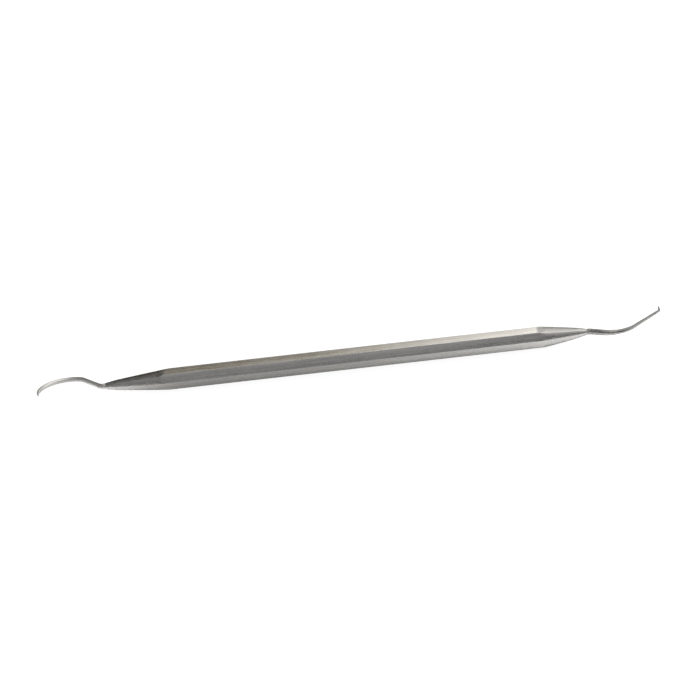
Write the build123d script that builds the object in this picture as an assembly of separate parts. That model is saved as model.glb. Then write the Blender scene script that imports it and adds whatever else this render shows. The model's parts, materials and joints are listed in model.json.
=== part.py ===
from build123d import *

import math
import os
from typing import NamedTuple

# Double-ended scriber: an octagonal steel handle with a bent needle point pressed into each end.
#
# X runs along the handle, from the hook end (-X) to the angled end (+X). +Y is the side that both
# points bend towards, and +Z is up. The origin is on the handle's axis, in the middle of its
# full-width length. The tool is modelled as it lies on a bench: on one corner line of the handle
# and on the crest of the hook. All sizes are in millimetres and all angles in degrees.

OVERALL_LENGTH = 165.0  # along the handle's axis, over both points

# Handle: an octagonal bar, ground to an eight-sided taper at each end
SIDES = 8
ACROSS_FLATS = 5.5
TAPER_END_FLATS = 1.9
HOOK_TAPER_LENGTH = 15.2
ANGLED_TAPER_LENGTH = 12.4

# Points: round wire, pressed into blind sockets in the taper ends
WIRE_DIAMETER = 1.5
TANG_LENGTH = 12.0
TANG_CHAMFER = 0.2
SOCKET_AIR_GAP = 0.5  # left behind the tang at the blind end
NECK_LENGTH = 0.4  # straight wire between the handle and the first bend
TIP_DIAMETER = 0.14

# Hook point, from the handle to its tip
NECK_RADIUS = 1.5
LEG_ANGLE = 52.0  # of the straight leg, from the handle's axis
LEG_LENGTH = 7.2
SHOULDER_RADIUS = 3.0
CROOK_RADIUS = 7.6
CROOK_ENTRY_ANGLE = 22.5  # from the handle's axis, where the shoulder runs into the crook
CREST_DIAMETER = 1.15
CROOK_TURN = 105.0  # from the crest to the tip

# Angled point, from the handle to its tip
DIP_RADIUS = 2.0
DIP_ANGLE = 23.0  # away from +Y
DIP_LENGTH = 3.1
SWEEP_RADIUS = 7.9
ARM_ANGLE = 43.0  # back towards +Y
ARM_LENGTH = 10.3
ARM_END_DIAMETER = 0.72
NIB_RADIUS = 0.9
NIB_ANGLE = 87.0  # from the handle's axis
NIB_LENGTH = 2.4
ANGLED_POINT_TWIST = 6.5  # of its bend plane out of the hook's, about the handle's axis


class Step(NamedTuple):
    """One stretch of a wire: straight if turn is 0, and otherwise a bend of that many degrees."""

    size: float  # length of a straight stretch, or centre-line radius of a bend
    turn: float  # positive towards the left of the direction of travel
    end_diameter: float


HOOK_STEPS = (
    Step(NECK_LENGTH, 0, WIRE_DIAMETER),
    Step(NECK_RADIUS, LEG_ANGLE, 1.3),
    Step(LEG_LENGTH, 0, 1.2),
    Step(SHOULDER_RADIUS, CROOK_ENTRY_ANGLE - LEG_ANGLE, 1.18),
    Step(CROOK_RADIUS, -CROOK_ENTRY_ANGLE, CREST_DIAMETER),
    Step(CROOK_RADIUS, -CROOK_TURN / 2, 1.12),
    Step(CROOK_RADIUS, -CROOK_TURN / 4, 0.98),
    Step(CROOK_RADIUS, -CROOK_TURN / 4, TIP_DIAMETER),
)

ANGLED_STEPS = (
    Step(NECK_LENGTH, 0, WIRE_DIAMETER),
    Step(DIP_RADIUS, -DIP_ANGLE, 1.48),
    Step(DIP_LENGTH, 0, 1.44),
    Step(SWEEP_RADIUS, (DIP_ANGLE + ARM_ANGLE) / 2, 1.3),
    Step(SWEEP_RADIUS, (DIP_ANGLE + ARM_ANGLE) / 2, 0.98),
    Step(ARM_LENGTH, 0, ARM_END_DIAMETER),
    Step(NIB_RADIUS, NIB_ANGLE - ARM_ANGLE, 0.68),
    Step(NIB_LENGTH / 2, 0, 0.56),
    Step(NIB_LENGTH / 2, 0, TIP_DIAMETER),
)


def disc(edge, position, diameter):
    """Round section of a wire, square to the edge at 0 (its start) or 1 (its end)."""
    return Plane(origin=edge @ position, z_dir=edge % position) * Circle(diameter / 2)


def needle(steps):
    """Round wire in the XY plane that leaves the origin along +X, thinning step by step to a
    rounded tip, with its straight tang on the -X side."""
    tang = Pos(-TANG_LENGTH, 0, 0) * Cylinder(
        WIRE_DIAMETER / 2, TANG_LENGTH, rotation=(0, 90, 0), align=(Align.CENTER, Align.CENTER, Align.MIN)
    )
    wire = chamfer(tang.faces().sort_by(Axis.X)[0].edges(), TANG_CHAMFER)
    position = Vector(0, 0, 0)
    heading = Vector(1, 0, 0)
    diameter = WIRE_DIAMETER
    for step in steps:
        if step.turn:
            edge = JernArc(position, heading, step.size, step.turn)
        else:
            edge = Line(position, position + heading * step.size)
        sections = [disc(edge, 0, diameter), disc(edge, 1, step.end_diameter)]
        wire += sweep(sections, path=edge, multisection=True)
        position = edge @ 1
        heading = edge % 1
        diameter = step.end_diameter
    return wire + Pos(position) * Sphere(diameter / 2)


def octagon(x, across_flats):
    """Section of the handle at x, with a corner towards each of +Y, -Y, +Z and -Z."""
    section_plane = Plane(origin=(x, 0, 0), x_dir=(0, 1, 0), z_dir=(1, 0, 0))
    return section_plane * RegularPolygon(across_flats / 2, SIDES, major_radius=False)


def socket(end_x, depth_direction):
    """Blind hole along the handle's axis, from its end at end_x."""
    depth = TANG_LENGTH + SOCKET_AIR_GAP
    middle = end_x + depth_direction * depth / 2
    return Pos(middle, 0, 0) * Cylinder(WIRE_DIAMETER / 2, depth, rotation=(0, 90, 0))


def make_handle(hook_end, angled_end):
    """Octagonal bar between its two taper ends, with a socket for a tang in each."""
    hook_shoulder = hook_end + HOOK_TAPER_LENGTH
    angled_shoulder = angled_end - ANGLED_TAPER_LENGTH
    sections = [
        octagon(hook_end, TAPER_END_FLATS),
        octagon(hook_shoulder, ACROSS_FLATS),
        octagon(angled_shoulder, ACROSS_FLATS),
        octagon(angled_end, TAPER_END_FLATS),
    ]
    bar = loft(sections, ruled=True)
    return bar - socket(hook_end, 1) - socket(angled_end, -1)


def rest_roll(crest_offset):
    """Turn about X that sets the hook's crest and the handle's lowest corner line on one level.

    crest_offset is the distance from the handle's axis to the wire's centre at the crest."""
    corner_radius = ACROSS_FLATS / 2 / math.cos(math.pi / SIDES)
    span = math.hypot(crest_offset, corner_radius)
    return math.degrees(math.atan2(corner_radius, crest_offset) - math.asin(CREST_DIAMETER / 2 / span))


def build_parts():
    """Every piece in its place, by node name."""
    hook = needle(HOOK_STEPS)
    angled = needle(ANGLED_STEPS)
    hook_reach = hook.bounding_box().max.X
    angled_reach = angled.bounding_box().max.X
    crest_offset = hook.bounding_box().max.Y - CREST_DIAMETER / 2

    handle_length = OVERALL_LENGTH - hook_reach - angled_reach
    full_width_length = handle_length - HOOK_TAPER_LENGTH - ANGLED_TAPER_LENGTH
    hook_end = -full_width_length / 2 - HOOK_TAPER_LENGTH
    angled_end = full_width_length / 2 + ANGLED_TAPER_LENGTH

    lie_down = Rot(-rest_roll(crest_offset), 0, 0)
    return {
        "handle": lie_down * make_handle(hook_end, angled_end),
        "hook_point": lie_down * Pos(hook_end, 0, 0) * Rot(0, 180, 0) * hook,
        "angled_point": lie_down * Rot(ANGLED_POINT_TWIST, 0, 0) * Pos(angled_end, 0, 0) * angled,
    }


os.makedirs("parts", exist_ok=True)
for node, part in build_parts().items():
    export_step(part, f"parts/{node}.step")
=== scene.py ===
import json
import math
from typing import NamedTuple

import bmesh
import bpy
from mathutils import Matrix, Vector


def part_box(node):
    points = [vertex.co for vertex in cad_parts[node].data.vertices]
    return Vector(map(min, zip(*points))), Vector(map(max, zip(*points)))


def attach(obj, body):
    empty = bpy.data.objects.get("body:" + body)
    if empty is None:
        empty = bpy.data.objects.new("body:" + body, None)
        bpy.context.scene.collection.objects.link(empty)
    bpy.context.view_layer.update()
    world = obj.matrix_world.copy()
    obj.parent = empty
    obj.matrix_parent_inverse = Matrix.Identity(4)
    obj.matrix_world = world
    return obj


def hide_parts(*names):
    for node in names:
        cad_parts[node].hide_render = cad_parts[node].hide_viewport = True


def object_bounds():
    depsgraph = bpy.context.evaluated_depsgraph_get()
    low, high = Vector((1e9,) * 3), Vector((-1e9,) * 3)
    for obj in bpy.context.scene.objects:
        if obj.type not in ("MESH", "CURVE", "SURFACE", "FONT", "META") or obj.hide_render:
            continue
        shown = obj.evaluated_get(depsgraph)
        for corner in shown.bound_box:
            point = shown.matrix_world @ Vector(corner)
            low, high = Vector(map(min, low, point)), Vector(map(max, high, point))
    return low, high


# Double-ended scriber: an octagonal brushed-steel handle and the two bent needle points pressed
# into its tapered ends, in the frame of the CAD model. The tool's sizes are in millimetres, and
# its meshes are scaled to metres when they are made. The stage, lights and camera are in metres.

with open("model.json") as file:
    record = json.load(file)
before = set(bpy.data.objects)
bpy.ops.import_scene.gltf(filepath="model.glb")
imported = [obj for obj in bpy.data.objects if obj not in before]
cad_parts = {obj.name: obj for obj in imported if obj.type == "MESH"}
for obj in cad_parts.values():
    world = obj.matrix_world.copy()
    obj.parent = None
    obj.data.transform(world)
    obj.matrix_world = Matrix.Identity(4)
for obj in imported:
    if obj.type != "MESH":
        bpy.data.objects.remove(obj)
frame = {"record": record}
cad_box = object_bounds()
MM = 0.001


# ------------------------------------------------------------------ sizes taken from the frame

def mount(name):
    """The mount of this name, as the record gives it."""
    return next(m for m in frame["record"]["mounts"] if m["name"] == name)


def box_mm(node):
    """The low and high corners of a CAD node's box, in millimetres."""
    low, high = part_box(node)
    return low / MM, high / MM


FLAT_POSITION = Vector(mount("front_flat")["pos_m"]) / MM
FLAT_NORMAL = Vector(mount("front_flat")["axis"])
ACROSS_FLATS = 2 * FLAT_POSITION.length
SIDES = 8
SIDE_TURN = 2 * math.pi / SIDES

# The plane that both points are bent in passes through two corners of the octagon. Seen along X,
# its +Y side lies three and a half sides before the front flat.
BEND_PLANE_TURN = math.atan2(FLAT_NORMAL.z, FLAT_NORMAL.y) - 3.5 * SIDE_TURN

HANDLE_LOW, HANDLE_HIGH = box_mm("handle")
HOOK_END_X = HANDLE_LOW.x
ANGLED_END_X = HANDLE_HIGH.x
TANG_LENGTH = box_mm("hook_point")[1].x - HOOK_END_X
FLOOR_Z = cad_box[0].z  # in metres, unlike the rest

# ------------------------------------------------------------------ sizes of the visible shapes

# Handle
TAPER_END_FLATS = 1.9
HOOK_TAPER_LENGTH = 15.2
ANGLED_TAPER_LENGTH = 12.4
HOOK_SHOULDER_X = HOOK_END_X + HOOK_TAPER_LENGTH
ANGLED_SHOULDER_X = ANGLED_END_X - ANGLED_TAPER_LENGTH
TAPER_BELLY = 0.06  # how far a taper facet bulges half way along, from grinding
SHOULDER_SOFTNESS = 0.03  # rounding of the line where a taper facet meets a flat
CORNER_RADIUS = 0.14  # broken edges of the bar
TAPER_ROUND_SHARE = 0.62  # share of each taper facet's width that its rounded edges take up
TAPER_ROUND_START = 1.6  # distance from the shoulder in which the edges grow to that roundness
SOCKET_AIR_GAP = 0.5
LIP_LENGTH = 3.0  # rounded rim round the socket's mouth, which runs down to the wire
LIP_DEPTH = 0.94  # how much of the way down to the wire it goes
LIP_RINGS = 12
MOUTH_CLEARANCE = 0.03  # the mouth is opened a little round the wire, which shows as a fine seam
BORE_CLEARANCE = 0.004
FLAT_CROWN = 0.035  # how far a flat bulges in the middle of its width
WAVE_HEIGHT = 0.003  # slow waviness of the drawn flats
WAVE_LENGTHS = (23.0, 9.5, 4.1)
WAVE_TURN = 2.4  # phase between one side's waves and the next side's, in radians

# How far each taper facet's shoulder lies beyond the nominal one, as hand grinding leaves it.
# The facets are numbered round the bar from the corner in the bend plane.
HOOK_SHOULDER_SHIFTS = (0.5, 1.6, 0.3, -0.4, -0.6, 1.3, -0.3, 0.8)
ANGLED_SHOULDER_SHIFTS = (-0.4, 0.4, -0.6, -0.3, 0.5, 1.1, -0.5, 0.1)

# Points
WIRE_DIAMETER = 1.5
TANG_CHAMFER = 0.2
WIRE_SEGMENTS = 40
RING_SPACING = 0.16
TANG_RING_SPACING = 1.0
BEND_SQUASH = 0.035  # a bent wire flattens by this share, times its diameter over the bend radius
TIP_RINGS = 6
ANGLED_POINT_TWIST = math.radians(6.5)  # of its bend plane out of the hook's, about X

# Distances along a wire, for the finishes below
GROUND_STEP_LENGTH = 0.3
GROUND_FADE_END = 5.0  # beyond the start of the step, where the wire is back at its plain size
NECK_SWELL_FULL = 0.6  # where the neck's swelling, which starts at the handle, is complete,
NECK_SWELL_FADE = 3.0  # where it starts to fade
NECK_SWELL_END = 6.0  # and where it is gone


class Finish(NamedTuple):
    """How a point's wire changes from as drawn, near the handle, to ground thinner, further out."""

    ground_from: float  # distance from the handle
    step: float  # drop in diameter there
    neck_swell: float  # how much larger its radius is just outside the handle


HOOK_FINISH = Finish(2.2, 0.06, 0.0)
ANGLED_FINISH = Finish(7.6, 0.2, 0.06)


class Step(NamedTuple):
    """One stretch of a point's wire: straight if turn is 0, and otherwise a bend."""

    size: float  # length of a straight stretch, or centre-line radius of a bend
    turn: float  # degrees, positive towards the left of the direction of travel
    end_diameter: float


HOOK_STEPS = (
    Step(0.4, 0, WIRE_DIAMETER),
    Step(1.5, 52, 1.3),
    Step(7.2, 0, 1.2),
    Step(3.0, -29.5, 1.18),
    Step(7.6, -22.5, 1.15),
    Step(7.6, -52.5, 1.12),
    Step(7.6, -26.25, 0.98),
    Step(7.6, -26.25, 0.14),
)

ANGLED_STEPS = (
    Step(0.4, 0, WIRE_DIAMETER),
    Step(2.0, -23, 1.48),
    Step(3.1, 0, 1.44),
    Step(7.9, 33, 1.3),
    Step(7.9, 33, 0.98),
    Step(10.3, 0, 0.72),
    Step(0.9, 44, 0.68),
    Step(1.2, 0, 0.56),
    Step(1.2, 0, 0.14),
)


# ------------------------------------------------------------------ mesh building

class Ring(NamedTuple):
    """A closed row of points round a piece."""

    points: list  # where they are, in millimetres
    grain: list  # where they would be if the piece were straight, with the grain along X
    edge: list  # 1 on a broken edge, 0 on a flat
    ground: float  # 1 where the surface was ground after drawing


def ring_piece(name, rings, start_cap, end_cap):
    """Closed solid through a row of rings, with a point at each end, in the row frame.

    The UV map runs U round the piece and V along it, for the direction of the brushing."""
    count = len(rings[0].points)
    bm = bmesh.new()
    grain = bm.verts.layers.float_vector.new("grain_at")
    edge = bm.verts.layers.float.new("edge")
    ground = bm.verts.layers.float.new("ground")
    uv = bm.loops.layers.uv.new("grain")

    def vertex(point, straight, edge_value, ground_value):
        v = bm.verts.new(Vector(point) * MM)
        v[grain] = straight
        v[edge] = edge_value
        v[ground] = ground_value
        return v

    rows = []
    for ring in rings:
        rows.append([
            vertex(p, g, e, ring.ground) for p, g, e in zip(ring.points, ring.grain, ring.edge)
        ])
    for low, high in zip(rows, rows[1:]):
        for i in range(count):
            j = (i + 1) % count
            face = bm.faces.new((low[i], low[j], high[j], high[i]))
            for loop, around in zip(face.loops, (i, i + 1, i + 1, i)):
                loop[uv].uv = (around / count, loop.vert[grain].x)
    for row, cap in ((rows[0], start_cap), (rows[-1], end_cap)):
        centre = vertex(cap[0], cap[1], 0, 0)
        for i in range(count):
            face = bm.faces.new((row[i], row[(i + 1) % count], centre))
            for loop, around in zip(face.loops, (i, i + 1, i + 0.5)):
                loop[uv].uv = (around / count, loop.vert[grain].x)
    bmesh.ops.recalc_face_normals(bm, faces=bm.faces)
    if not all(e.is_manifold for e in bm.edges):
        raise ValueError(f"{name} isn't a closed solid")
    mesh = bpy.data.meshes.new(name)
    bm.to_mesh(mesh)
    bm.free()
    mesh.shade_smooth()
    piece = bpy.data.objects.new(name, mesh)
    bpy.context.scene.collection.objects.link(piece)
    return piece


def smooth_min(a, b, softness):
    """The smaller of two values, with a smooth change from one to the other."""
    return (a + b - math.hypot(a - b, softness)) / 2


def spread(start, end, spacing):
    """Evenly spaced values from start to end, without the end."""
    count = max(1, round(abs(end - start) / spacing))
    return [start + (end - start) * i / count for i in range(count)]


# ------------------------------------------------------------------ handle

FLAT_SHARES = (0.0, 0.05, 0.15, 0.3, 0.5, 0.7, 0.85, 0.95)  # points across a flat
CORNER_STEPS = 6
EDGE_WEAR_SHARE = 0.05  # share of a flat's width, from each edge, that the edge's wear reaches
SHOULDER_ZONE = 1.8  # distance from a shoulder within which the rings are closest
SHOULDER_RING_SPACING = 0.06
TAPER_RING_SPACING = 0.4
FLAT_RING_SPACING = 0.8


def taper_distance(x, shoulder, end):
    """Distance of a taper facet from the axis at x, with its belly."""
    share = (x - shoulder) / (end - shoulder)
    straight = ACROSS_FLATS / 2 + (TAPER_END_FLATS - ACROSS_FLATS) / 2 * share
    inside = min(max(share, 0.0), 1.0)
    return straight + 4 * TAPER_BELLY * inside * (1 - inside)


def facet_distance(side, x):
    """Distance of one side of the handle from its axis at x."""
    wave = sum(math.sin(2 * math.pi * x / w + side * WAVE_TURN + w) for w in WAVE_LENGTHS)
    flat = ACROSS_FLATS / 2 + WAVE_HEIGHT * wave / len(WAVE_LENGTHS)
    hook_shoulder = HOOK_SHOULDER_X + HOOK_SHOULDER_SHIFTS[side]
    angled_shoulder = ANGLED_SHOULDER_X + ANGLED_SHOULDER_SHIFTS[side]
    hook_taper = taper_distance(x, hook_shoulder, HOOK_END_X)
    angled_taper = taper_distance(x, angled_shoulder, ANGLED_END_X)
    nearest_taper = smooth_min(hook_taper, angled_taper, SHOULDER_SOFTNESS)
    return smooth_min(flat, nearest_taper, SHOULDER_SOFTNESS)


def corner_radius(x, mean_distance):
    """The broken edges of the bar grow much rounder on the tapers, which are ground by hand."""
    hook_depth = HOOK_SHOULDER_X - x
    angled_depth = x - ANGLED_SHOULDER_X
    share = min(max(hook_depth, angled_depth, 0.0) / TAPER_ROUND_START, 1.0)
    taper_radius = TAPER_ROUND_SHARE * mean_distance
    return CORNER_RADIUS + (taper_radius - CORNER_RADIUS) * share


def section(x):
    """(y, z, edge) of the handle's outline at x: eight flats joined by round corners."""
    distances = [facet_distance(side, x) for side in range(SIDES)]
    radius = corner_radius(x, sum(distances) / SIDES)
    corners = []
    for side in range(SIDES):
        # corner between the side before and this one, which face half a side-turn either way
        before, after = distances[side - 1], distances[side]
        direction = BEND_PLANE_TURN + side * SIDE_TURN
        mean = (before + after) / 2 / math.cos(SIDE_TURN / 2)
        offset = (after - before) / 2 / math.sin(SIDE_TURN / 2)
        corners.append((
            mean * math.cos(direction) - offset * math.sin(direction),
            mean * math.sin(direction) + offset * math.cos(direction),
        ))
    inset = radius * math.tan(SIDE_TURN / 2)
    outline = []
    for side in range(SIDES):
        start, end = Vector(corners[side]), Vector(corners[(side + 1) % SIDES])
        along = (end - start).normalized()
        first, last = start + along * inset, end - along * inset
        outward = Vector((along.y, -along.x))
        for share in FLAT_SHARES:
            point = first.lerp(last, share) + outward * 4 * FLAT_CROWN * share * (1 - share)
            wear = max(0.0, 1 - min(share, 1 - share) / EDGE_WEAR_SHARE)
            outline.append((point.x, point.y, wear))
        centre = last - outward * radius
        turn = math.atan2(outward.y, outward.x)
        for step in range(CORNER_STEPS):
            angle = turn + SIDE_TURN * step / CORNER_STEPS
            outline.append((
                centre.x + radius * math.cos(angle), centre.y + radius * math.sin(angle), 1.0
            ))
    return outline


def handle_ring(x, ground):
    """Ring of the handle's full outline at x."""
    outline = section(x)
    points = [(x, y, z) for y, z, _ in outline]
    return Ring(points, points, [edge for _, _, edge in outline], ground)


def rim_ring(outline, x, share, radius, edge):
    """Ring that goes from the outline of the handle's end, at share 0, to a circle, at share 1."""
    points = []
    for y, z, _ in outline:
        outline_radius = math.hypot(y, z)
        size = (outline_radius + (radius - outline_radius) * share) / outline_radius
        points.append((x, y * size, z * size))
    return Ring(points, points, [edge] * len(points), 1.0)


def socket_rings(end_x, inward):
    """Rounded rim and blind bore at one end of the handle, from the outside in."""
    outline = section(end_x + inward * LIP_LENGTH)
    bore = WIRE_DIAMETER / 2 + BORE_CLEARANCE
    mouth = bore + MOUTH_CLEARANCE
    rings = []
    for step in range(1, LIP_RINGS + 1):
        share = step / LIP_RINGS
        at = end_x + inward * LIP_LENGTH * (1 - share)
        rings.append(rim_ring(outline, at, LIP_DEPTH * share ** 1.1, mouth, 1.0))
    rings.append(rim_ring(outline, end_x, 1, mouth, 0.0))
    for depth in (MOUTH_CLEARANCE, 1.0, TANG_LENGTH + SOCKET_AIR_GAP):
        rings.append(rim_ring(outline, end_x + inward * depth, 1, bore, 0.0))
    return rings


def handle_stations():
    """X of each ring along the handle, between its rounded rims."""
    stretches = (
        (HOOK_END_X + LIP_LENGTH, TAPER_RING_SPACING),
        (HOOK_SHOULDER_X - SHOULDER_ZONE, SHOULDER_RING_SPACING),
        (HOOK_SHOULDER_X + SHOULDER_ZONE, FLAT_RING_SPACING),
        (ANGLED_SHOULDER_X - SHOULDER_ZONE, SHOULDER_RING_SPACING),
        (ANGLED_SHOULDER_X + SHOULDER_ZONE, TAPER_RING_SPACING),
        (ANGLED_END_X - LIP_LENGTH, None),
    )
    stations = []
    for (start, spacing), (end, _) in zip(stretches, stretches[1:]):
        stations += spread(start, end, spacing)
    return stations + [stretches[-1][0]]


def make_handle():
    """Solid of the handle, with its two sockets."""
    rings = list(reversed(socket_rings(HOOK_END_X, 1)))
    for x in handle_stations():
        rings.append(handle_ring(x, float(x < HOOK_SHOULDER_X or x > ANGLED_SHOULDER_X)))
    rings += socket_rings(ANGLED_END_X, -1)
    depth = TANG_LENGTH + SOCKET_AIR_GAP
    caps = [(x, 0, 0) for x in (HOOK_END_X + depth, ANGLED_END_X - depth)]
    return ring_piece("handle_steel", rings, (caps[0], caps[0]), (caps[1], caps[1]))


# ------------------------------------------------------------------ points

class Station(NamedTuple):
    """A place on a wire's centre line, in the bend plane, with the handle's end at the origin."""

    x: float
    y: float
    heading: float
    travelled: float
    radius: float
    flattening: float
    ground: float


def smooth_share(value, start, end):
    """0 before start, 1 after end and a smooth rise between them."""
    share = min(max((value - start) / (end - start), 0.0), 1.0)
    return share * share * (3 - 2 * share)


def ground_share(at, finish):
    """0 where a wire is as drawn and 1 where it was ground, at a distance from the handle."""
    return smooth_share(at, finish.ground_from, finish.ground_from + GROUND_STEP_LENGTH)


def finished_radius(plain_radius, at, finish):
    """A wire's radius at a distance from the handle, with its ground step and swollen neck."""
    ground = ground_share(at, finish)
    step = finish.step / 4 * min(at / finish.ground_from, 1.0) * (1 - 2 * ground)
    if ground == 1:
        fade_start = finish.ground_from + GROUND_STEP_LENGTH
        step *= 1 - smooth_share(at, fade_start, finish.ground_from + GROUND_FADE_END)
    swell = smooth_share(at, 0, NECK_SWELL_FULL)
    swell *= 1 - smooth_share(at, NECK_SWELL_FADE, NECK_SWELL_END)
    return plain_radius + step + finish.neck_swell * swell


def along_step(x, y, heading, step, share):
    """(x, y, heading) part of the way along a step that starts at x, y and heading."""
    if not step.turn:
        travelled = step.size * share
        return x + travelled * math.cos(heading), y + travelled * math.sin(heading), heading
    angle = heading + math.radians(step.turn) * share
    side = math.copysign(step.size, step.turn)
    ahead = side * (math.sin(angle) - math.sin(heading))
    aside = -side * (math.cos(angle) - math.cos(heading))
    return x + ahead, y + aside, angle


def tang_stations():
    """Stations along a tang, from its chamfered end up to the handle's end."""
    radius = WIRE_DIAMETER / 2
    end = -TANG_LENGTH
    stations = [Station(end, 0, 0, end, radius - TANG_CHAMFER, 0, 0)]
    for x in [end + TANG_CHAMFER] + spread(end + TANG_RING_SPACING, 0, TANG_RING_SPACING):
        stations.append(Station(x, 0, 0, x, radius, 0, 0))
    return stations


def stations_of(steps, finish):
    """Stations along a point, from its tang to the start of its rounded tip."""
    stations = tang_stations()
    start = (0.0, 0.0, 0.0)
    travelled = 0.0
    radius = WIRE_DIAMETER / 2
    for step in steps:
        end_radius = step.end_diameter / 2
        length = step.size * math.radians(abs(step.turn)) if step.turn else step.size
        squash = BEND_SQUASH * 2 * radius / step.size if step.turn else 0.0
        count = max(3, math.ceil(length / RING_SPACING))
        for i in range(1, count + 1):
            share = i / count
            at = travelled + length * share
            plain_radius = radius + (end_radius - radius) * share
            stations.append(Station(
                *along_step(*start, step, share), at, finished_radius(plain_radius, at, finish),
                squash * math.sin(math.pi * share), ground_share(at, finish),
            ))
        start = stations[-1][:3]
        travelled += length
        radius = end_radius
    return stations


def wire_ring(station, ahead, radius, place):
    """Ring round a wire, a little ahead of a station, put in its place in the row frame."""
    across = Vector((-math.sin(station.heading), math.cos(station.heading), 0))
    forward = Vector((math.cos(station.heading), math.sin(station.heading), 0))
    centre = Vector((station.x, station.y, 0)) + forward * ahead
    points, grain = [], []
    for i in range(WIRE_SEGMENTS):
        angle = 2 * math.pi * i / WIRE_SEGMENTS
        wide = math.cos(angle) * radius * (1 - station.flattening)
        high = math.sin(angle) * radius * (1 + station.flattening)
        points.append(place @ (centre + across * wide + Vector((0, 0, high))))
        grain.append((station.travelled + ahead, wide, high))
    return Ring(points, grain, [0.0] * WIRE_SEGMENTS, station.ground)


def make_point(name, steps, finish, place):
    """Solid of one bent needle point, with its tang, put in its place in the row frame."""
    stations = stations_of(steps, finish)
    rings = [wire_ring(s, 0, s.radius, place) for s in stations]
    last = stations[-1]
    for step in range(1, TIP_RINGS):
        angle = math.pi / 2 * step / TIP_RINGS
        ahead = last.radius * math.sin(angle)
        rings.append(wire_ring(last, ahead, last.radius * math.cos(angle), place))
    tang_end = Vector((stations[0].x, 0, 0))
    forward = Vector((math.cos(last.heading), math.sin(last.heading), 0))
    tip = Vector((last.x, last.y, 0)) + forward * last.radius
    return ring_piece(
        name, rings,
        (place @ tang_end, (stations[0].x, 0, 0)),
        (place @ tip, (last.travelled + last.radius, 0, 0)),
    )


def place_at(end_x, faces_back, twist):
    """From a point's own frame to the row frame: at a handle end, rolled into its bend plane."""
    turned = Matrix.Rotation(math.pi if faces_back else 0, 4, "Y")
    roll = Matrix.Rotation(BEND_PLANE_TURN + twist, 4, "X")
    return Matrix.Translation((end_x, 0, 0)) @ roll @ turned


# ------------------------------------------------------------------ materials

class Nodes:
    """Short calls that add shader nodes to one material and link them."""

    def __init__(self, tree):
        self.tree = tree

    def add(self, kind, **settings):
        node = self.tree.nodes.new(kind)
        for key, value in settings.items():
            setattr(node, key, value)
        return node

    def put(self, socket, value):
        if isinstance(value, bpy.types.NodeSocket):
            self.tree.links.new(value, socket)
        else:
            socket.default_value = value

    def math(self, operation, a, b=0.0, clamp=False):
        node = self.add("ShaderNodeMath", operation=operation, use_clamp=clamp)
        self.put(node.inputs[0], a)
        self.put(node.inputs[1], b)
        return node.outputs[0]

    def attribute(self, name, output="Fac"):
        return self.add("ShaderNodeAttribute", attribute_name=name).outputs[output]

    def stretched(self, vector, along, across):
        """The grain position scaled to so many features per millimetre along and across."""
        node = self.add("ShaderNodeVectorMath", operation="MULTIPLY")
        self.put(node.inputs[0], vector)
        node.inputs[1].default_value = (along, across, across)
        return node.outputs[0]

    def noise(self, vector, detail=2.0, roughness=0.5, distortion=0.0):
        node = self.add("ShaderNodeTexNoise")
        self.put(node.inputs["Vector"], vector)
        node.inputs["Scale"].default_value = 1.0
        node.inputs["Detail"].default_value = detail
        node.inputs["Roughness"].default_value = roughness
        node.inputs["Distortion"].default_value = distortion
        return node.outputs[0]

    def remap(self, value, low, high, new_low, new_high):
        node = self.add("ShaderNodeMapRange", clamp=True)
        self.put(node.inputs["Value"], value)
        keys = ("From Min", "From Max", "To Min", "To Max")
        for key, number in zip(keys, (low, high, new_low, new_high)):
            self.put(node.inputs[key], number)
        return node.outputs[0]

    def scale_colour(self, colour, factor):
        node = self.add("ShaderNodeVectorMath", operation="SCALE")
        self.put(node.inputs[0], colour)
        self.put(node.inputs["Scale"], factor)
        return node.outputs[0]

    def mix_colour(self, share, a, b):
        node = self.add("ShaderNodeMix", data_type="RGBA")
        self.put(node.inputs["Factor"], share)
        self.put(node.inputs["A"], a)
        self.put(node.inputs["B"], b)
        return node.outputs["Result"]


def material(name):
    made = bpy.data.materials.new(name)
    made.use_nodes = True
    return made, Nodes(made.node_tree), made.node_tree.nodes["Principled BSDF"]


def scratch_lines(n, position, along, across, share):
    """Sparse thin lines: 1 on a scratch and 0 elsewhere."""
    wander = n.noise(n.stretched(position, along, across), detail=1.0)
    distance = n.math("ABSOLUTE", n.math("SUBTRACT", wander, 0.5))
    line = n.remap(distance, 0.0, share, 1.0, 0.0)
    patches = n.noise(n.stretched(position, along * 3, across / 4), detail=0.0)
    return n.math("MULTIPLY", line, n.remap(patches, 0.5, 0.62, 0.0, 1.0))


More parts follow.
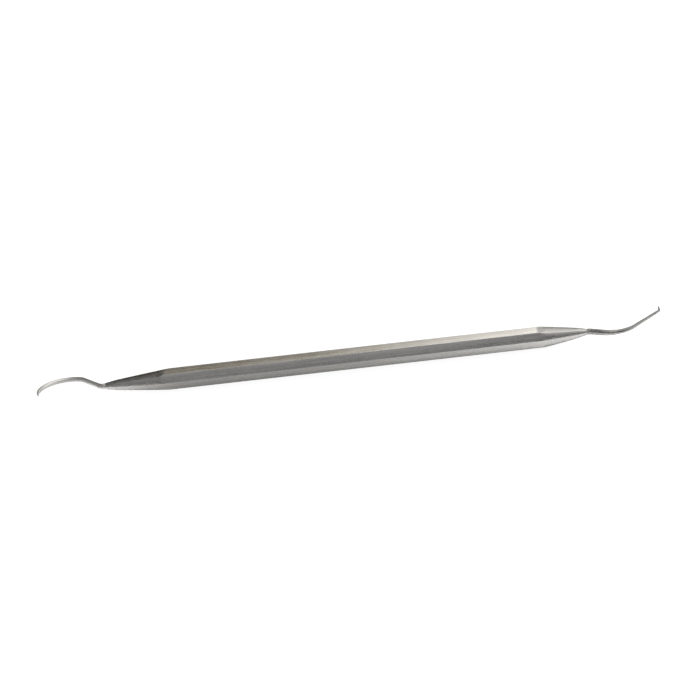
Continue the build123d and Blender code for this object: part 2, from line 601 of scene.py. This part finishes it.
def handle_material():
    """Stainless bar, brushed along its length, with ground tapers and edges worn bright."""
    made, n, shader = material("brushed_stainless")
    at = n.attribute("grain_at", "Vector")
    edge = n.attribute("edge")
    ground = n.attribute("ground")

    fine = n.noise(n.stretched(at, 0.15, 12.0), detail=3.0, roughness=0.65)
    streaks = n.noise(n.stretched(at, 0.07, 4.5), detail=2.0)
    bands = n.noise(n.stretched(at, 0.02, 1.5), detail=1.0)
    mottle = n.noise(n.stretched(at, 0.7, 4.2), detail=3.0, roughness=0.6)
    smudges = n.noise(n.stretched(at, 0.11, 0.25), detail=2.0, distortion=0.8)
    scratches = scratch_lines(n, at, 0.22, 1.3, 0.012)

    tone = n.remap(fine, 0.3, 0.7, -0.08, 0.08)
    tone = n.math("ADD", tone, n.remap(streaks, 0.3, 0.7, -0.10, 0.10))
    tone = n.math("ADD", tone, n.remap(bands, 0.35, 0.65, -0.04, 0.04))
    tone = n.math("ADD", tone, n.remap(mottle, 0.3, 0.7, -0.04, 0.04))
    tone = n.math("ADD", tone, n.math("MULTIPLY", edge, 0.05))
    share = n.math("ADD", tone, 0.5, clamp=True)
    colour = n.mix_colour(share, (0.34, 0.335, 0.325, 1), (0.86, 0.85, 0.83, 1))
    n.put(shader.inputs["Base Color"], colour)

    rough = n.remap(streaks, 0.3, 0.7, 0.24, 0.31)
    rough = n.math("ADD", rough, n.remap(smudges, 0.35, 0.7, -0.02, 0.03))
    rough = n.math("ADD", rough, n.remap(mottle, 0.3, 0.7, -0.015, 0.015))
    rough = n.math("SUBTRACT", rough, n.math("MULTIPLY", edge, 0.03))
    rough = n.math("ADD", rough, n.math("MULTIPLY", ground, 0.02))
    n.put(shader.inputs["Roughness"], n.math("ADD", rough, n.math("MULTIPLY", scratches, 0.12)))

    height = n.math("ADD", n.math("MULTIPLY", fine, 0.5), n.math("MULTIPLY", streaks, 0.8))
    height = n.math("ADD", height, n.math("MULTIPLY", mottle, 0.2))
    height = n.math("SUBTRACT", height, n.math("MULTIPLY", scratches, 0.5))
    add_relief(n, shader, height, depth=0.006, strength=n.remap(edge, 0, 1, 0.4, 0.12))
    steel_shine(n, shader, anisotropy=0.78)
    return made


def warm_grey(value):
    return value, 0.99 * value, 0.97 * value, 1


def point_material(name, dark, light, ground_painted_light, roughness):
    """Hardened wire between a dark and a light grey: mottled as drawn, and smoother where ground.

    The greys and the tone shift of the ground part are set per piece as painted light: raised where
    a painted sheen stands in for highlights, and lowered where painted shade darkens a bright
    reflection.
    """
    made, n, shader = material(name)
    at = n.attribute("grain_at", "Vector")
    ground = n.attribute("ground")
    fine = n.noise(n.stretched(at, 0.9, 9.0), detail=3.0, roughness=0.6)
    streaks = n.noise(n.stretched(at, 0.25, 3.0), detail=2.0)
    mottle = n.noise(n.stretched(at, 2.1, 3.0), detail=3.0, roughness=0.6)
    rings = n.noise(n.stretched(at, 9.0, 0.4), detail=2.0)
    raw = n.math("SUBTRACT", 1.0, ground)

    tone = n.remap(fine, 0.3, 0.7, -0.07, 0.07)
    tone = n.math("ADD", tone, n.remap(streaks, 0.3, 0.7, -0.08, 0.08))
    mottling = n.remap(mottle, 0.3, 0.7, -0.12, 0.12)
    mottling = n.math("MULTIPLY", mottling, n.remap(raw, 0, 1, 0.5, 2.2))
    tone = n.math("ADD", tone, mottling)
    tone = n.math("SUBTRACT", tone, n.math("MULTIPLY", raw, 0.08))
    # painted light on the ground part: a positive shift paints it brighter as a sheen, and a
    # negative one paints it darker as shade
    tone = n.math("ADD", tone, n.math("MULTIPLY", ground, ground_painted_light))
    share = n.math("ADD", tone, 0.5, clamp=True)
    colour = n.mix_colour(share, warm_grey(dark), warm_grey(light))
    n.put(shader.inputs["Base Color"], colour)
    rough = n.remap(streaks, 0.3, 0.7, -0.05, 0.05)
    rough = n.math("ADD", rough, n.remap(mottle, 0.3, 0.7, -0.03, 0.04))
    rough = n.math("ADD", rough, roughness)
    n.put(shader.inputs["Roughness"], n.math("ADD", rough, n.math("MULTIPLY", raw, 0.08)))

    height = n.math("ADD", n.math("MULTIPLY", fine, 0.6), n.math("MULTIPLY", mottle, 0.6))
    height = n.math("ADD", height, n.math("MULTIPLY", rings, 0.3))
    add_relief(n, shader, height, depth=0.008, strength=n.remap(raw, 0, 1, 0.5, 1.0))
    steel_shine(n, shader, anisotropy=0.4)
    return made


def add_relief(n, shader, height, depth, strength):
    """Fine surface relief, for which a height of 1 is this depth in millimetres."""
    bump = n.add("ShaderNodeBump")
    bump.inputs["Distance"].default_value = depth * MM
    n.put(bump.inputs["Strength"], strength)
    n.put(bump.inputs["Height"], height)
    n.put(shader.inputs["Normal"], bump.outputs["Normal"])


def steel_shine(n, shader, anisotropy):
    """Bare metal whose highlights spread across the brushing."""
    shader.inputs["Metallic"].default_value = 1.0
    shader.inputs["Anisotropic"].default_value = anisotropy
    tangent = n.add("ShaderNodeTangent", direction_type="UV_MAP", uv_map="grain")
    n.put(shader.inputs["Tangent"], tangent.outputs["Tangent"])


def floor_material():
    """White board. The camera sees it brightly exposed, so its shadows stay faint."""
    made, n, shader = material("white_floor")
    path = n.add("ShaderNodeLightPath")
    seen = path.outputs["Is Camera Ray"]
    n.put(shader.inputs["Base Color"], n.mix_colour(seen, FLOOR_COLOUR, FLOOR_COLOUR_SEEN))
    shader.inputs["Roughness"].default_value = 0.5
    shader.inputs["Specular IOR Level"].default_value = 0.2
    shader.inputs["Emission Color"].default_value = (1, 1, 1, 1)
    n.put(shader.inputs["Emission Strength"], n.math("MULTIPLY", seen, FLOOR_EXPOSURE))
    return made


# ------------------------------------------------------------------ stage, light and camera

TARGET = (cad_box[0] + cad_box[1]) / 2
VIEW_AZIMUTH = math.radians(0)
VIEW_ELEVATION = math.radians(37.9)
VIEW_ROLL = math.radians(6.45)
VIEW_DISTANCE = 0.643
SHARE_OF_WIDTH = 0.90  # of the picture, that the tool takes up
FLOOR_HALF_SIZE = 4.0
FLOOR_COLOUR = (0.6, 0.6, 0.6, 1)
FLOOR_COLOUR_SEEN = (0.14, 0.14, 0.14, 1)  # by the camera, which also sees the exposure below
FLOOR_EXPOSURE = 0.945


def direction(azimuth, elevation):
    """Unit vector from the object; azimuth 0 is the -Y side and positive turns to +X."""
    return Vector((
        math.sin(azimuth) * math.cos(elevation),
        -math.cos(azimuth) * math.cos(elevation),
        math.sin(elevation),
    ))


def make_floor():
    """Flat floor at the level of the lowest points of the tool."""
    mesh = bpy.data.meshes.new("floor")
    reach = FLOOR_HALF_SIZE
    corners = [(-reach, -reach), (reach, -reach), (reach, reach), (-reach, reach)]
    mesh.from_pydata([(x, y, FLOOR_Z) for x, y in corners], [], [(0, 1, 2, 3)])
    floor = bpy.data.objects.new("floor", mesh)
    bpy.context.scene.collection.objects.link(floor)
    mesh.materials.append(floor_material())


def soft_light(name, place, aim, size, power):
    """Square light at place, facing aim, that brightens the floor and isn't itself seen.

    Both places are in metres from the middle of the tool."""
    data = bpy.data.lights.new(name, "AREA")
    data.size = size
    data.energy = power
    light = bpy.data.objects.new(name, data)
    light.location = TARGET + Vector(place)
    light.rotation_mode = "QUATERNION"
    light.rotation_quaternion = (Vector(aim) - Vector(place)).to_track_quat("-Z", "Y")
    light.visible_glossy = False
    light.visible_camera = False
    bpy.context.scene.collection.objects.link(light)


# What the steel reflects, from the -X side of the studio to its +X side. Each row is X of the
# direction and the light's colour.
BACK_WALL = (
    (-0.8, (0.75, 0.75, 0.74)),
    (-0.45, (0.40, 0.40, 0.39)),
    (-0.28, (0.04, 0.04, 0.04)),
    (-0.16, (0.13, 0.12, 0.10)),
    (-0.07, (0.26, 0.22, 0.16)),
    (0.015, (0.34, 0.30, 0.23)),
    (0.055, (2.10, 2.03, 1.91)),
    (0.10, (2.20, 2.14, 2.02)),
    (0.2, (0.90, 0.88, 0.84)),
    (0.32, (0.75, 0.74, 0.71)),
    (0.5, (1.9, 1.88, 1.85)),
)
OVERHEAD_LIGHT = (
    (-0.28, (0.10, 0.10, 0.10)),
    (-0.2, (0.30, 0.30, 0.29)),
    (-0.14, (1.8, 1.78, 1.75)),
    (-0.08, (0.55, 0.53, 0.49)),
    (0.04, (1.40, 1.37, 1.31)),
    (0.8, (0.9, 0.9, 0.88)),
)
FRONT_WALL = (
    (-0.3, (0.23, 0.23, 0.235)),
    (0.03, (0.27, 0.27, 0.275)),
    (0.09, (0.20, 0.20, 0.205)),
    (0.5, (0.16, 0.16, 0.165)),
)
LOW_FRONT_COLOUR = (0.45, 0.45, 0.45, 1)
DIFFUSE_SHARE = 1.05  # how much of this light reaches the floor

# The walls brighten between these heights, by these factors
WALL_HEIGHTS = (0.4, 0.85)
BACK_WALL_SHADES = (0.35, 1.0)
FRONT_WALL_SHADES = (0.5, 1.5)

# Where one surface gives way to the next: by Y of the direction, and by Z for the low front
FRONT_TO_OVERHEAD = (-0.5, -0.2)
OVERHEAD_TO_BACK = (0.15, 0.4)
LOW_FRONT_TO_FRONT = (0.1, 0.35)


def side_ramp(n, x, rows):
    """Colour that changes from one side of the studio to the other, by the rows above."""
    ramp = n.add("ShaderNodeValToRGB")
    stops = ramp.color_ramp.elements
    while len(stops) < len(rows):
        stops.new(1.0)
    for stop, (place, colour) in zip(stops, rows):
        stop.position = (place + 1) / 2
        stop.color = (*colour, 1)
    n.put(ramp.inputs[0], n.remap(x, -1, 1, 0, 1))
    return ramp.outputs[0]


def make_world():
    """White for the camera, and a soft studio in the steel's reflections."""
    world = bpy.data.worlds.new("studio")
    world.use_nodes = True
    bpy.context.scene.world = world
    n = Nodes(world.node_tree)
    background = world.node_tree.nodes["Background"]
    texture = n.add("ShaderNodeTexCoord")
    split = n.add("ShaderNodeSeparateXYZ")
    n.put(split.inputs[0], texture.outputs["Generated"])
    x, y, z = split.outputs
    back_shade = n.remap(z, *WALL_HEIGHTS, *BACK_WALL_SHADES)
    front_shade = n.remap(z, *WALL_HEIGHTS, *FRONT_WALL_SHADES)
    back = n.scale_colour(side_ramp(n, x, BACK_WALL), back_shade)
    front = n.scale_colour(side_ramp(n, x, FRONT_WALL), front_shade)
    front = n.mix_colour(n.remap(z, *LOW_FRONT_TO_FRONT, 1, 0), front, LOW_FRONT_COLOUR)
    overhead = side_ramp(n, x, OVERHEAD_LIGHT)
    upper = n.mix_colour(n.remap(y, *OVERHEAD_TO_BACK, 0, 1), overhead, back)
    colour = n.mix_colour(n.remap(y, *FRONT_TO_OVERHEAD, 0, 1), front, upper)
    path = n.add("ShaderNodeLightPath")
    colour = n.scale_colour(colour, n.remap(path.outputs["Is Diffuse Ray"], 0, 1, 1, DIFFUSE_SHARE))
    colour = n.mix_colour(path.outputs["Is Camera Ray"], colour, (1, 1, 1, 1))
    n.put(background.inputs["Color"], colour)


def make_camera():
    """Camera at the viewing angle, with the tool across most of the picture."""
    data = bpy.data.cameras.new("camera")
    camera = bpy.data.objects.new("camera", data)
    back = direction(VIEW_AZIMUTH, VIEW_ELEVATION)
    camera.location = TARGET + back * VIEW_DISTANCE
    camera.rotation_mode = "QUATERNION"
    look = (-back).to_track_quat("-Z", "Y").to_matrix()
    camera.rotation_quaternion = (look @ Matrix.Rotation(-VIEW_ROLL, 3, "Z")).to_quaternion()
    span = (cad_box[1].x - cad_box[0].x) / VIEW_DISTANCE
    data.lens = data.sensor_width * SHARE_OF_WIDTH / span
    data.clip_start = 0.01
    bpy.context.scene.collection.objects.link(camera)
    bpy.context.scene.camera = camera


# ------------------------------------------------------------------ the model

hook_place = place_at(HOOK_END_X, faces_back=True, twist=0)
angled_place = place_at(ANGLED_END_X, faces_back=False, twist=ANGLED_POINT_TWIST)
handle_steel = make_handle()
hook_wire = make_point("hook_wire", HOOK_STEPS, HOOK_FINISH, hook_place)
angled_wire = make_point("angled_wire", ANGLED_STEPS, ANGLED_FINISH, angled_place)

brushed_steel = handle_material()
# Both points are the same steel. The hook's greys are raised as a painted sheen, and the angled
# point's greys are lowered, with its ground arm darker still, as painted shade.
hook_steel_painted_bright = point_material(
    "hook_wire_steel_painted_bright", dark=0.6, light=1.0, ground_painted_light=0.15, roughness=0.42,
)
angled_steel_painted_shade = point_material(
    "angled_wire_steel_painted_shade", dark=0.18, light=0.8, ground_painted_light=-0.3, roughness=0.27,
)

PIECES = (
    (handle_steel, "handle", "handle_steel", brushed_steel),
    (hook_wire, "hook_point", "point_steel", hook_steel_painted_bright),
    (angled_wire, "angled_point", "point_steel", angled_steel_painted_shade),
)
for piece, node, slot, surface in PIECES:
    piece.data.materials.append(surface)
    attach(piece, "root")
    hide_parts(node)

make_floor()
make_world()
soft_light(
    "angled_end_softbox", place=(0.105, 0.015, 0.06), aim=(0, 0, 0), size=0.06, power=0.16,
)
soft_light(
    "hook_end_softbox", place=(-0.066, -0.008, 0.01), aim=(-0.066, -0.008, 0), size=0.012,
    power=0.0026,
)
make_camera()
bpy.context.scene.view_settings.view_transform = "Standard"
